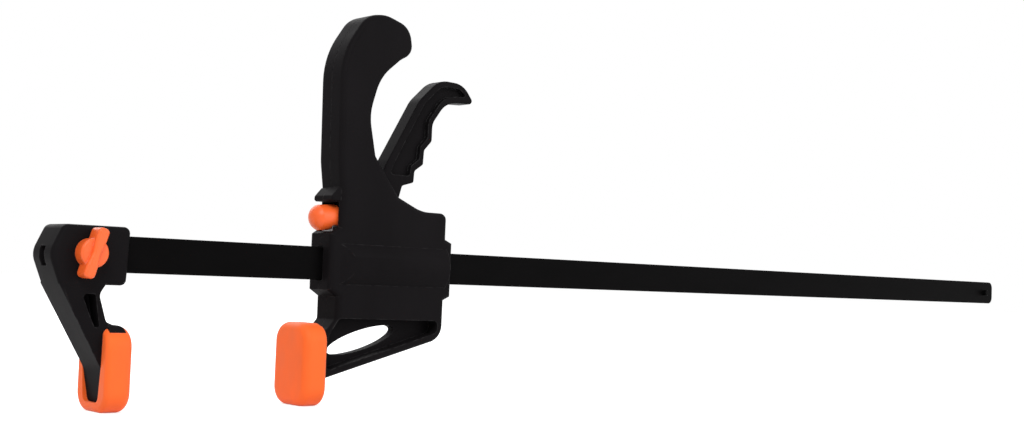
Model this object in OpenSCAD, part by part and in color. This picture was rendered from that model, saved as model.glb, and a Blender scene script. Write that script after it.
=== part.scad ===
// Quick release bar clamp: a trigger clamp for one hand on a flat steel bar.
// Millimetres. +X runs along the bar to its free end, +Z up to the handle and
// +Y away from the wing knob. The origin is the middle of the fixed pad's
// clamping face.

/* [Bar] */
// Height of the flat bar
bar_h = 16; // [14:0.5:17]
// Thickness of the flat bar
bar_t = 5; // [4:0.5:6]
// Length of the bar
bar_len = 745; // [450:5:1200]
// Radius of the bar's corners at its ends
bar_end_r = 4.5; // [1:0.5:6]
// How far the bar reaches behind the fixed pad's face
bar_set = 34; // [30:0.5:35]
// Gap round the bar where it slides in the housing
bar_gap = 0.2; // [0.1:0.05:0.3]
// Diameter of the stop pin near the free end
stop_d = 4; // [3:0.5:6]
// Distance of the stop pin from the free end
stop_in = 12; // [8:0.5:30]
// Length of the stop pin
stop_len = 12; // [9:0.5:18]

/* [Jaws] */
// Distance between the two pads as drawn
opening = 85.5; // [5:0.5:550]
// Depth from the bar's middle to the middle of the pads
jaw_reach = 49.5; // [49:0.5:54]
// Width of the fixed jaw's head
head_w = 22; // [20:0.5:26]
// Width of the fixed jaw's arm
arm_w = 18; // [15:0.5:20]
// Top of the fixed jaw's head above the bar's middle
head_top = 11.8; // [11.8:0.2:16]
// Underside of the fixed jaw's head below the bar's middle
head_low = 13.4; // [12:0.2:16]
// Length of the fixed jaw's head along the bar
head_len = 35.8; // [35.8:0.2:44]
// Thickness of the web between the ribs of both jaws
web_t = 5; // [4:0.5:9]
// Edge rounding of the fixed jaw's head
head_edge = 2.4; // [1:0.1:2.5]
// Edge rounding of the fixed jaw's arm
arm_edge = 1.5; // [0.5:0.1:1.5]

/* [Pads] */
// Width of a pad
pad_w = 29.5; // [28:0.5:34]
// Height of a pad
pad_h = 37; // [34:0.5:42]
// Thickness of a pad from its face to its back
pad_t = 12.8; // [12:0.2:15]
// Corner radius of a pad's outline
pad_r = 9; // [6:0.5:10]
// Edge rounding round a pad's clamping face
pad_edge = 4.6; // [2:0.2:4.8]
// Edge rounding round a pad's back
pad_back_edge = 2.4; // [1:0.2:2.6]
// Rubber in front of the jaw's shoe
pad_front = 3.2; // [2.5:0.1:4]
// Rubber lip behind the jaw's shoe
pad_lip = 2; // [1.5:0.1:2.5]
// Rubber beside the jaw's shoe
pad_side = 2.8; // [2:0.1:4]
// Gap between a pad and its shoe
pad_gap = 0.2; // [0.1:0.05:0.4]

/* [Housing] */
// Width of the housing across its flat sides
body_w = 20; // [19:0.5:24]
// Edge rounding of the housing and its handle
body_edge = 3; // [1.5:0.5:3.5]
// Outer radius of the half-round barrel over the bar
barrel_r = 14; // [13.5:0.5:16]
// Wall of the hollow handle
wall = 2.8; // [2:0.2:3.5]
// Length of the housing from the moving pad's face to its rear collar
body_len = 89.7; // [89:0.5:110]
// Height of the handle above the bar's middle
handle_top = 124; // [120:1:132]
// Radius of the drive spring's chamber round the bar
chamber_r = 11.5; // [11.2:0.1:11.8]
// Radius of the brake spring's chamber round the bar
brake_chamber_r = 10.6; // [10.4:0.1:10.8]

/* [Trigger] */
// Height of the trigger's pin above the bar's middle
pivot_z = 31; // [30:0.5:33]
// Distance of the trigger's pin behind the moving pad's face
pivot_x = 40.7; // [40:0.1:41.5]
// Diameter of the trigger's pin
pin_d = 5; // [4:0.5:6]
// Width of the trigger
trigger_w = 12; // [10:0.5:13]
// Angle the trigger swings through when it is squeezed
squeeze = 19; // [10:1:19]
// Distance from the trigger's pin to the middle of its driving nose
nose_arm = 13; // [12:0.5:13]
// Radius of the driving nose
nose_r = 4; // [3:0.5:4.5]
// Depth of the hollow in each side of the trigger
trigger_dish = 2.5; // [1:0.25:3.5]

/* [Drive and brake] */
// Thickness of a drive plate
plate_t = 3; // [2:0.25:3.5]
// Width of the drive plates and the brake lever
plate_w = 16; // [14:0.5:17]
// Thickness of the brake lever
lever_t = 3; // [2:0.25:3.5]
// Lean of the brake lever at rest
lever_lean = 5; // [3:0.5:6]
// Play of the steel plates on the bar, above and below it
plate_play = 0.4; // [0.35:0.05:0.6]
// Wire of the drive spring
drive_wire = 1.4; // [1:0.1:1.6]
// Turns of the drive spring
drive_turns = 9; // [5:1:12]
// Wire of the brake spring
brake_wire = 1.2; // [0.8:0.1:1.4]
// Turns of the brake spring
brake_turns = 4; // [3:1:5]
// Diameter of the release button
button_d = 12.4; // [10:0.2:13]
// How far the release button stands out of its notch
button_out = 7.5; // [7:0.5:10]

/* [Wing knob] */
// Diameter of the knob's screw
screw_d = 6; // [5:0.5:6]
// Diameter of the knob's round hub
hub_d = 12.5; // [11:0.5:16]
// Height of the knob's round hub
hub_h = 6.5; // [4:0.5:9]
// Length of the knob's wing
wing_len = 22; // [18:0.5:26]
// Thickness of the knob's wing
wing_t = 4.4; // [3:0.1:5]
// Height of the knob's wing
wing_h = 8.5; // [6:0.5:11]
// Turn of the wing from upright
wing_turn = 17; // [0:1:90]
// Thickness of the knob's washer
washer_t = 1; // [0.8:0.1:2]

/* [Hidden] */

black = "#17181a";
orange = "#f0611e";
steel = "#9a9c9f";
dark_steel = "#26272a";

$fn = 48;
// Degrees of arc between two points of a rounded outline
arc_step = 15;
// Levels of a rounded edge
edge_steps = 3;
// A length longer than any cut has to be
far = 200;
// Radial clearance of a shaft that turns in its bore
run = 0.04;
// Clearance of what is set in a pocket
fit = 0.15;
// Gap between pieces that pass each other
pass = 0.3;

pad_z = -jaw_reach;
pad_top = pad_z + pad_h / 2;
pad_low = pad_z - pad_h / 2;

// The shoe that a pad is drawn over, measured back from the pad's face
shoe_front = pad_front + pad_gap;
shoe_back = pad_t - pad_lip - pad_gap;
shoe_w = pad_w - 2 * (pad_side + pad_gap);
shoe_low = pad_low + pad_front + pad_gap;
shoe_top = pad_top + 0.6;

// ---- outlines and shared shapes; z = 0 is the bar's middle ----

// Place what belongs to the bar
module on_bar() {
    translate([0, 0, jaw_reach]) children();
}

// Place what belongs to the housing, where x = 0 is the moving pad's face
module on_body() {
    translate([opening, 0, jaw_reach]) children();
}

function unit(v) = v / norm(v);

// Arc that rounds the corner b = [x, z, radius] between a and c
function corner(a, b, c) =
    let (p = [b[0], b[1]],
         u = unit([a[0], a[1]] - p),
         v = unit([c[0], c[1]] - p),
         half = acos(u * v) / 2,
         centre = p + unit(u + v) * b[2] / sin(half),
         start = p + u * b[2] / tan(half) - centre,
         end = p + v * b[2] / tan(half) - centre,
         from = atan2(start[1], start[0]),
         turn = (atan2(end[1], end[0]) - from + 540) % 360 - 180,
         n = max(1, ceil(abs(turn) / arc_step)))
    [for (k = [0:n])
        centre + b[2] * [cos(from + turn * k / n), sin(from + turn * k / n)]];

// Outline through the corners [x, z, radius]; a radius of 0 stays sharp
function rounded(c) =
    let (n = len(c))
    [for (i = [0:n - 1])
        each c[i][2] > 0 ? corner(c[(i + n - 1) % n], c[i], c[(i + 1) % n])
                         : [[c[i][0], c[i][1]]]];

// Outline drawn in by d: each point moves along the bisector of its two sides
function drawn_in(o, d) =
    let (n = len(o))
    [for (i = [0:n - 1])
        let (u = unit(o[i] - o[(i + n - 1) % n]),
             v = unit(o[(i + 1) % n] - o[i]))
        o[i] + d * [-u[1] - v[1], u[0] + v[0]] / (1 + u * v)];

// Twice the area of the triangle a, b, c; above 0 where it turns to the left
function twice_area(a, b, c) =
    (b[0] - a[0]) * (c[1] - a[1]) - (b[1] - a[1]) * (c[0] - a[0]);

// Is the corner k of the points left an ear: turning left, with no point inside
function is_ear(o, left, k) =
    let (n = len(left), a = o[left[(k + n - 1) % n]], b = o[left[k]], c = o[left[(k + 1) % n]])
    twice_area(a, b, c) > 0 &&
    len([for (i = left)
        let (p = o[i])
        if (p != a && p != b && p != c && twice_area(a, b, p) >= 0
            && twice_area(b, c, p) >= 0 && twice_area(c, a, p) >= 0) i]) == 0;

function next_ear(o, left, k) = is_ear(o, left, k) ? k : next_ear(o, left, k + 1);

// Triangles that fill the outline o, cut off ear by ear
function filled(o, left) =
    let (n = len(left))
    n == 3 ? [left]
           : let (k = next_ear(o, left, 0))
             concat([[left[(k + n - 1) % n], left[k], left[(k + 1) % n]]],
                    filled(o, [for (i = [1:n - 1]) left[(k + i) % n]]));

// Solid between y0 and y1 with the outline o in the XZ plane, counter-clockwise
// from the near side. Its edges are rounded to e0 at y0 and to e1 at y1.
module moulded(o, y0, y1, e0, e1) {
    n = len(o);
    turns = [for (k = [0:edge_steps]) 90 * k / edge_steps];
    near = e0 > 0 ? [for (t = turns) [y0 + e0 * (1 - cos(t)), e0 * (1 - sin(t))]] : [[y0, 0]];
    back = e1 > 0 ? [for (t = turns) [y1 - e1 * (1 - sin(t)), e1 * (1 - cos(t))]] : [[y1, 0]];
    levels = concat(near, back);
    m = len(levels);
    points = [for (l = levels) for (p = drawn_in(o, l[1])) [p[0], l[0], p[1]]];
    sides = [for (l = [0:m - 2]) for (i = [0:n - 1])
        let (j = (i + 1) % n, a = l * n, b = a + n)
        each [[a + i, a + j, b + j], [a + i, b + j, b + i]]];
    cap = filled(drawn_in(o, max(e0, e1)), [for (i = [0:n - 1]) i]);
    near_cap = [for (t = cap) [t[2], t[1], t[0]]];
    back_cap = [for (t = cap) t + (m - 1) * [n, n, n]];
    polyhedron(points, concat(near_cap, sides, back_cap));
}

// Straight solid with the outline o in the XZ plane between y0 and y1
module slab(o, y0, y1) {
    translate([0, y1, 0]) rotate([90, 0, 0]) linear_extrude(y1 - y0) polygon(o);
}

// Straight solid with the outline o in the YZ plane between x0 and x1
module plate(o, x0, x1) {
    translate([x0, 0, 0]) rotate([90, 0, 90]) linear_extrude(x1 - x0) polygon(o);
}

// Round bar along Y, from y0 to y1, on the point p = [x, z]
module along_y(p, y0, y1, d) {
    translate([p[0], y0, p[1]]) rotate([-90, 0, 0]) cylinder(d = d, h = y1 - y0);
}

// Round bar along X, from x0 to x1, on the bar's middle line
module along_x(x0, x1, r) {
    translate([x0, 0, 0]) rotate([0, 90, 0]) cylinder(r = r, h = x1 - x0);
}

// Hexagonal bar along Y, from y0 to y1, with the flats af apart
module hexagon(p, y0, y1, af) {
    translate([p[0], y0, p[1]]) rotate([-90, 0, 0])
        cylinder(d = af / cos(30), h = y1 - y0, $fn = 6);
}

// Box from x0 to x1 and z0 to z1, w wide across the middle plane
module block(x0, x1, z0, z1, w) {
    translate([x0, -w / 2, z0]) cube([x1 - x0, w, z1 - z0]);
}

// Way for the bar from x0 to x1, with a gap above and below it and at its sides
module bar_way(x0, x1, gap_z, gap_y) {
    block(x0, x1, -bar_h / 2 - gap_z, bar_h / 2 + gap_z, bar_t + 2 * gap_y);
}

// Rounded rectangle in the YZ plane, 2 * y wide from z0 to z1
function panel(y, z0, z1, r) = rounded([[-y, z0, r], [y, z0, r], [y, z1, r], [-y, z1, r]]);

// Compression spring round the bar from x0 to x1: one tube whose ends run
// straight for one wire diameter, with 8 rings to a turn
module coil(x0, x1, turns, r, wire) {
    rings = turns * 8;
    lead = 22.5;
    first = [x0 + wire / 2, r * cos(lead), r * sin(lead)];
    last = [x1 - wire / 2, r * cos(lead), r * sin(lead)];
    along = [0, -sin(lead), cos(lead)];
    route = concat([first - wire * along],
                   [for (k = [0:rings])
                       [first[0] + (last[0] - first[0]) * k / rings,
                        r * cos(lead + 45 * k), r * sin(lead + 45 * k)]],
                   [last + wire * along]);
    n = len(route);
    tube = [for (k = [0:n - 1])
        let (p = route[k],
             t = unit(route[min(k + 1, n - 1)] - route[max(k - 1, 0)]),
             level = [0, p[1], p[2]],
             out = unit(level - t * (t * level)),
             up = cross(t, out))
        for (s = [0:5]) p + wire / 2 * (out * cos(60 * s) + up * sin(60 * s))];
    sides = [for (k = [0:n - 2]) for (s = [0:5])
        let (a = k * 6 + s, b = k * 6 + (s + 1) % 6)
        each [[a, b, b + 6], [a, b + 6, a + 6]]];
    near_end = [[for (s = [5:-1:0]) s]];
    far_end = [[for (s = [0:5]) (n - 1) * 6 + s]];
    polyhedron(tube, concat(near_end, sides, far_end));
    // Least gap between two turns, from ring centres that lie one turn apart
    gaps = [for (k = [1:rings - 8]) norm(route[k + 8] - route[k]) - wire];
    echo(least_gap_between_turns = min(gaps));
}

// ---- the bar ----

bar_x0 = -bar_set;
bar_x1 = bar_x0 + bar_len;
stop_x = bar_x1 - stop_in;
knob_x = -21.5;

module bar() {
    z = bar_h / 2;
    color(dark_steel) on_bar() difference() {
        slab(rounded([[bar_x0, -z, bar_end_r], [bar_x1, -z, bar_end_r],
                      [bar_x1, z, bar_end_r], [bar_x0, z, bar_end_r]]),
             -bar_t / 2, bar_t / 2);
        along_y([knob_x, 0], -far, far, screw_d + 2 * pass);
        along_y([stop_x, 0], -far, far, stop_d);
    }
}

module stop_pin() {
    color(steel) on_bar() along_y([stop_x, 0], -stop_len / 2, stop_len / 2, stop_d);
}

// ---- the fixed jaw ----

head_front = -2.4;
head_back = head_front - head_len;
nut_af = 10;
nut_h = 5;

function head_outline() = rounded([
    [head_back + 5, -head_low, 0],
    [head_front - 1, -head_low, 2.6],
    [head_front, head_top, 2.8],
    [head_back + 5.8, head_top, 3.5],
    [head_back, -0.6, 9]]);

function arm_outline() = rounded([
    [head_back + 6, -6, 0],
    [head_back + 5, -head_low, 0],
    [-12.6, -49.1, 10],
    [-shoe_back, shoe_low + 1, 0],
    [-shoe_front - 1, shoe_low + 1, 0],
    [-shoe_front - 1, pad_top - 1, 0],
    [-11.6, pad_top + 2, 2],
    [-15.4, -head_low - 4, 4],
    [-11.5, -head_low + 2, 0],
    [-12, 6, 0],
    [head_back + 8, 6, 0]]);

// The arm seen from behind: as wide as the head above, narrow at its toe
function arm_width() = rounded([
    [-arm_w * 0.4, shoe_low + 1, 3],
    [arm_w * 0.4, shoe_low + 1, 3],
    [arm_w / 2, pad_z + 2, 20],
    [head_w / 2, -head_low, 0],
    [head_w / 2, far, 0],
    [-head_w / 2, far, 0],
    [-head_w / 2, -head_low, 0],
    [-arm_w / 2, pad_z + 2, 20]]);

// Hollow on each side of the arm, between its back rib and its front rib
function arm_hollow() = rounded([
    [-23.4, -17.2, 1.5],
    [-16.6, pad_top - 0.4, 0.8],
    [-14.4, pad_top - 0.4, 0.8],
    [-17.3, -17.2, 1.2]]);

// Shoe of a jaw, with its face towards +X and its top rounded to the front
module shoe() {
    intersection() {
        plate(panel(shoe_w / 2, shoe_low, shoe_top, 4), -shoe_back, -shoe_front);
        slab(rounded([[-shoe_back, shoe_low, 0], [-shoe_front, shoe_low, 0],
                      [-shoe_front, shoe_top, 3], [-shoe_back, shoe_top, 0]]),
             -far, far);
    }
}

module fixed_jaw() {
    color(black) on_bar() difference() {
        union() {
            moulded(head_outline(), -head_w / 2, head_w / 2, head_edge, head_edge);
            intersection() {
                moulded(arm_outline(), -head_w / 2, head_w / 2, arm_edge, arm_edge);
                plate(arm_width(), -far, far);
            }
            shoe();
        }
        bar_way(bar_x0 - fit, far, fit, fit);
        // window in the back wall
        block(-far, bar_x0, -6, 2.4, bar_t + 2 * fit);
        along_y([knob_x, 0], -far, far, screw_d + 2 * fit);
        hexagon([knob_x, 0], head_w / 2 - nut_h, far, nut_af + 2 * fit);
        slab(arm_hollow(), -far, -web_t / 2);
        slab(arm_hollow(), web_t / 2, far);
    }
}

// ---- the pads ----

// Pad with its clamping face at x = 0, towards +X. The shoe goes in from the
// top; the children are cut out of the lip behind it.
module pad() {
    y = pad_w / 2;
    inner_y = shoe_w / 2 + pad_gap;
    inner_z = shoe_low - pad_gap;
    difference() {
        rotate([0, 0, 90])
            moulded(panel(y, pad_low, pad_top, pad_r), 0, pad_t, pad_edge, pad_back_edge);
        plate(rounded([[-inner_y, inner_z, 4], [inner_y, inner_z, 4],
                       [inner_y, far, 0], [-inner_y, far, 0]]),
              -shoe_back - pad_gap, -shoe_front + pad_gap);
        children();
    }
}

// The fixed jaw's arm passes through a slot that follows its width
module fixed_pad() {
    color(orange) on_bar() pad()
        plate(drawn_in(arm_width(), -pad_gap), -far - shoe_back, -shoe_back);
}

module moving_pad() {
    y = body_w / 2 + pad_gap;
    color(orange) on_body() mirror([1, 0, 0]) pad()
        plate(rounded([[-y, jaw_low - 1, 3], [y, jaw_low - 1, 3], [y, far, 0], [-y, far, 0]]),
              -far - shoe_back, -shoe_back);
}

// ---- the knob ----

washer_y = -head_w / 2;
washer_d = 10;
hub_y = washer_y - 0.2;
knob_floor = hub_y - hub_h + 2;

module wing_knob() {
    r = wing_t / 2 - 0.1;
    w = wing_t / 2;
    h = wing_len / 2;
    color(orange) on_bar() difference() {
        union() {
            along_y([knob_x, 0], hub_y - hub_h, hub_y, hub_d);
            translate([knob_x, 0, 0]) rotate([0, wing_turn, 0])
                moulded(rounded([[-w, -h, r], [w, -h, r], [w, h, r], [-w, h, r]]),
                        hub_y - wing_h, hub_y - 0.5, 1, 0.3);
        }
        along_y([knob_x, 0], knob_floor, far, screw_d);
        along_y([knob_x, 0], washer_y - washer_t - 0.1, far, washer_d + 2 * pass);
    }
}

module knob_screw() {
    color(steel) on_bar() along_y([knob_x, 0], knob_floor, head_w / 2 - 0.5, screw_d);
}

module knob_washer() {
    color(steel) on_bar() difference() {
        along_y([knob_x, 0], washer_y - washer_t, washer_y, washer_d);
        along_y([knob_x, 0], -far, far, screw_d + 2 * run);
    }
}

module jaw_nut() {
    color(steel) on_bar() difference() {
        hexagon([knob_x, 0], head_w / 2 - nut_h, head_w / 2, nut_af);
        along_y([knob_x, 0], -far, far, screw_d + 2 * run);
    }
}

// ---- the housing ----

collar_x = 15.2;
flank_x = 20.2;
rear_x = body_len - 4.2;
jaw_low = pad_z - 7.2;

// Fulcrum of the brake lever: the middle of its round foot
lever_x = 23;
lever_z = -14;
lever_top = 26;
button_z = 22.8;

// Nose of the trigger at rest; it swings as far ahead of its pin as behind it
nose = [pivot_x - nose_arm * sin(squeeze / 2), pivot_z - nose_arm * cos(squeeze / 2)];
stroke = 2 * nose_arm * sin(squeeze / 2);
plates_x = nose[0] + nose_r + pass;
plates_end = plates_x + 2 * plate_t + 0.1;
plate_top = 22;
plate_low = -12.5;
bulkhead_x = 36;
drive_x = bulkhead_x + 3.5;
spring_end = 80;

// Side view: jaw, housing and handle in one line
function body_outline() = rounded([
    [shoe_back - 1, jaw_low, 0],
    [rear_x, jaw_low + 21, 9],
    // rear collar
    [rear_x, -16.4, 0],
    [body_len, -14.4, 0],
    [body_len, 13.2, 0],
    [rear_x, 15, 0],
    [rear_x, 28.2, 3.4],
    [70, 28.2, 25],
    [54.6, 34.8, 0],
    // hollow back of the handle and its hooked top
    [39.8, 54, 0],
    [35.4, 74, 24],
    [41, 93, 25],
    [52.8, handle_top - 20.8, 12],
    [60, handle_top - 16.6, 6.5],
    [57.6, handle_top - 3.6, 10],
    [43, handle_top + 0.7, 18],
    [31.5, handle_top - 1, 14],
    [17.4, 102, 40],
    [18.4, 50, 40],
    [flank_x, 37, 0],
    // front collar, then the nose over the pad
    [flank_x, 18, 0],
    [collar_x, 14.6, 0],
    [collar_x, -12.6, 0],
    [flank_x, -15.8, 0],
    [flank_x, -26.6, 2],
    [16.6, -31, 1],
    [shoe_back - 1, pad_top - 4, 0]]);

// Brow over the release button
function brow() = rounded([
    [15.4, 30.2, 1.3],
    [flank_x + 6, 30.2, 0],
    [flank_x + 6, 40, 0],
    [flank_x - 1, 36.8, 0],
    [15.6, 32.8, 1.3]]);

function handle_hollow() = rounded([
    [flank_x + wall, 44, 3],
    [39.8 - wall, 60, 8],
    [35.4 - wall + 0.6, 75, 15],
    [41 - wall, 95, 22],
    [52.6 - wall, handle_top - 17.5, 12],
    [58.8 - wall, handle_top - 14.5, 3],
    [56.6 - wall, handle_top - 3.8 - wall, 6],
    [43, handle_top - wall, 14],
    [31, handle_top - 2.4 - wall, 10],
    [17.8 + wall, 100, 30]]);

// Hollow on each side of the lower jaw, above its bottom rib
function jaw_hollow() = rounded([
    [shoe_back + 5.2, jaw_low + 5.6, 3],
    [rear_x - 4.4, jaw_low + 24, 3.4],
    [rear_x - 4, -26.8, 2.6],
    [22, -26.2, 2]]);

// Slanting oval window through the lower jaw
window_at = [39.5, -36.8];
window_half = [20.8, 5.3];
window_slope = 15.5;

module window() {
    translate([window_at[0], 0, window_at[1]]) rotate([0, -window_slope, 0])
        rotate([90, 0, 0]) linear_extrude(far, center = true)
            polygon([for (a = [0:15:345]) [window_half[0] * cos(a), window_half[1] * sin(a)]]);
}

// Screws that hold the two shells together, put in from the far side
screw_at = [[45, handle_top - 12], [26.4, 64], [rear_x - 8.5, 21.5],
            [rear_x - 7.5, -21], [28, -21.2]];
shell_screw_d = 3;
shell_screw_len = 16;
screw_head_d = 6;
screw_head_h = 2.4;
screw_seat = body_w / 2 - screw_head_h;

// Half-round barrel with a slanting front
module barrel() {
    side = body_w / 2 - 0.4;
    intersection() {
        along_x(flank_x - 1, rear_x - 0.3, barrel_r);
        translate([0, 0, -far / 2]) linear_extrude(far)
            polygon([[flank_x - 0.6, -side], [flank_x + 7.4, -barrel_r], [far, -barrel_r],
                     [far, barrel_r], [flank_x + 7.4, barrel_r], [flank_x - 0.6, side]]);
    }
}

// Space for the brake: lever, round foot, arm, button and spring
module brake_space() {
    w = plate_w + 1;
    foot_w = lever_t + 2 * pass;
    along_x(lever_x + 1.4, bulkhead_x, brake_chamber_r);
    block(collar_x + 3, lever_x + 2, lever_z + 1, 14.6, w);
    along_y([lever_x, lever_z], -w / 2, w / 2, foot_w);
    block(lever_x - foot_w / 2 + 0.05, lever_x + foot_w / 2 - 0.05, lever_z, 0, w);
    block(17.5, lever_x + 2.6, 10, button_z, 11);
    block(collar_x, lever_x + 4.4, 15.6, 30, button_d + 1.6);
}

// Space for the drive: spring, plates, nose and trigger
module drive_space() {
    y = trigger_w / 2 + 0.4;
    low = pivot_z - nose_arm - nose_r - 0.6;
    along_x(drive_x, spring_end, chamber_r);
    block(drive_x + 1.5, plates_end + stroke + 1, plate_low - 0.8, plate_top + 0.8, plate_w + 1);
    slab([[33, low], [50, low], [56, 27], [59.2, 31], [64, 60], [38.8, 60], [38.8, 46], [33, 39]],
         -y, y);
    along_y([pivot_x, pivot_z], -body_w / 2 + 1.5, body_w / 2 - 1.5, pin_d + run);
}

module handle_space() {
    difference() {
        slab(handle_hollow(), -body_w / 2 + wall, body_w / 2 - wall);
        for (p = screw_at) along_y(p, -body_w, body_w, screw_head_d + 2);
    }
}

// One half of the housing: side is -1 for the near shell and 1 for the far one
module half_body(side) {
    y = body_w / 2;
    brow_w = y - 1.6;
    difference() {
        union() {
            if (side < 0) moulded(body_outline(), -y, 0, body_edge, 0);
            else moulded(body_outline(), 0, y, 0, body_edge);
            if (side < 0) moulded(brow(), -brow_w, 0, 1.2, 0);
            else moulded(brow(), 0, brow_w, 0, 1.2);
            intersection() {
                union() {
                    barrel();
                    mirror([1, 0, 0]) shoe();
                }
                translate([0, side < 0 ? -far : 0, -far / 2]) cube(far);
            }
        }
        slab(jaw_hollow(), side < 0 ? -far : web_t / 2, side < 0 ? -web_t / 2 : far);
        window();
        bar_way(-far, far, bar_gap, bar_gap);
        brake_space();
        drive_space();
        handle_space();
    }
}

module near_shell() {
    color(black) on_body() difference() {
        half_body(-1);
        for (p = screw_at) along_y(p, screw_seat - shell_screw_len - 0.5, far, shell_screw_d);
    }
}

module far_shell() {
    color(black) on_body() difference() {
        half_body(1);
        for (p = screw_at) {
            along_y(p, -far, far, shell_screw_d + 2 * fit);
            along_y(p, screw_seat, far, screw_head_d + 2 * fit);
        }
    }
}

module shell_screws() {
    color(steel) on_body() for (p = screw_at) difference() {
        union() {
            along_y(p, screw_seat - shell_screw_len, screw_seat + 1, shell_screw_d);
            along_y(p, screw_seat, screw_seat + screw_head_h, screw_head_d);
        }
        for (a = [0, 90]) translate([p[0], screw_seat + screw_head_h, p[1]])
            rotate([0, a, 0]) cube([3.6, 2.4, 0.8], center = true);
    }
}

// ---- the trigger ----

// Grip with a hooked top, and finger grooves down its back
function trigger_outline() = rounded([
    [50, 27.5, 6],
    [57.2, 33, 2],
    [59.4, 40.8, 2],
    [66.4, 42.8, 1.4],
    [66.8, 48.8, 2.2],
    [72, 52.4, 1.6],
    [72.4, 59.8, 2.4],
    [77, 64.8, 3],
    [77, 74, 8],
    [85, 85, 12],
    [93, 85, 8],
    [103, 85.6, 2.4],
    [95.8, 96.6, 12],
    [80.6, 97, 14],
    [68.4, 85.4, 16],
    [50, 53, 20],
    [44, 40, 4],
    [36, 34, 4],
    [37, 25, 5]]);

// Hollow in each side of the grip, 3 mm inside its edge
function trigger_hollow() = rounded([
    [51, 46, 1.5],
    [63.4, 46, 1.5],
    [64, 51.2, 2],
    [69, 55, 1.5],
    [69.4, 61.4, 2],
    [73.8, 66.2, 2],
    [73.8, 75, 8],
    [83.4, 87.6, 12],
    [92, 88.6, 6],
    [98, 89, 0.8],
    [94, 93.6, 6],
    [81.6, 93.8, 10],
    [71, 83.6, 14],
    [54.2, 53, 6]]);

// Leg between the pin and the nose, upright where the plates lie against it
function trigger_leg() = [
    [pivot_x - 6, pivot_z],
    [nose[0] - nose_r + 0.1, nose[1]],
    [nose[0] + nose_r - 0.1, nose[1]],
    [nose[0] + nose_r - 0.1, plate_top + 0.8],
    [pivot_x + 6, pivot_z]];

module trigger() {
    y = trigger_w / 2;
    color(black) on_body() difference() {
        union() {
            moulded(trigger_outline(), -y, y, 1.2, 1.2);
            slab(trigger_leg(), -y + 0.5, y - 0.5);
            along_y(nose, -y + 0.5, y - 0.5, 2 * nose_r);
        }
        slab(trigger_hollow(), -far, -y + trigger_dish);
        slab(trigger_hollow(), y - trigger_dish, far);
        along_y([pivot_x, pivot_z], -far, far, pin_d + 2 * run);
    }
}

module trigger_pin() {
    y = body_w / 2 - 1.8;
    color(steel) on_body() along_y([pivot_x, pivot_z], -y, y, pin_d);
}

// ---- drive plates and springs ----

// Steel plate with a slot for the bar, its front face at x
module drive_plate(x) {
    w = plate_w / 2;
    color(steel) on_body() difference() {
        plate(panel(w, plate_low, plate_top, 2), x, x + plate_t);
        bar_way(x - 1, x + plate_t + 1, plate_play, bar_gap);
    }
}

module front_drive_plate() {
    drive_plate(plates_x);
}

module rear_drive_plate() {
    drive_plate(plates_x + plate_t + 0.1);
}

module drive_spring() {
    color(steel) on_body()
        coil(plates_end + 0.1, spring_end - 0.1, drive_turns,
             chamber_r - drive_wire / 2 - 0.4, drive_wire);
}

module brake_spring() {
    color(steel) on_body()
        coil(lever_x + lever_t / 2 + pass, bulkhead_x - 0.1, brake_turns,
             brake_chamber_r - brake_wire / 2 - 0.3, brake_wire);
}

// ---- brake lever and release button ----

// Turn what stands upright on the fulcrum to its lean at rest
module leaning() {
    on_body() translate([lever_x, 0, lever_z]) rotate([0, -lever_lean, 0])
        translate([-lever_x, 0, -lever_z]) children();
}

// Plate on a round foot, with an arm for the button
module brake_lever() {
    w = plate_w / 2;
    arm = 4.5;
    shoulder = 12.5;
    color(steel) leaning() difference() {
        union() {
            plate(rounded([[-w, lever_z, 0], [w, lever_z, 0], [w, shoulder, 2],
                           [arm, shoulder, 1], [arm, lever_top, 2], [-arm, lever_top, 2],
                           [-arm, shoulder, 1], [-w, shoulder, 2]]),
                  lever_x - lever_t / 2, lever_x + lever_t / 2);
            along_y([lever_x, lever_z], -w, w, lever_t);
        }
        bar_way(0, far, plate_play, bar_gap);
    }
}

// Round button with a domed front, pushed over the lever's arm
module release_button() {
    r = button_d / 2;
    front = flank_x - 0.7 - button_out;
    crown = 1.1 * r;
    rise = crown - sqrt(crown * crown - r * r);
    color(orange) leaning() difference() {
        translate([front, 0, button_z]) rotate([0, 90, 0]) rotate_extrude() union() {
            translate([0, rise]) square([r, lever_x + lever_t / 2 + 1.6 - front - rise]);
            intersection() {
                translate([0, crown]) circle(r = crown, $fn = 96);
                square([r, rise + 0.1]);
            }
        }
        block(lever_x - lever_t / 2 - fit / 2, lever_x + lever_t / 2 + fit / 2,
              0, lever_top + fit, 9 + 2 * fit);
    }
}

bar();
stop_pin();
fixed_jaw();
fixed_pad();
wing_knob();
knob_screw();
knob_washer();
jaw_nut();
near_shell();
far_shell();
shell_screws();
moving_pad();
trigger();
trigger_pin();
front_drive_plate();
rear_drive_plate();
drive_spring();
brake_lever();
release_button();
brake_spring();
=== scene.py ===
"""Quick release bar clamp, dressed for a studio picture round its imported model.

Outlines and sizes are in millimetres, measured from the bar's middle line: at
the fixed pad's face for what belongs to the bar, and at the moving pad's face
for what belongs to the housing. +X runs to the bar's free end, +Z to the handle.
"""
import math

import bmesh
import bpy
import numpy as np
from bpy.props import FloatProperty, FloatVectorProperty, PointerProperty
from mathutils import Matrix, Vector


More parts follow.
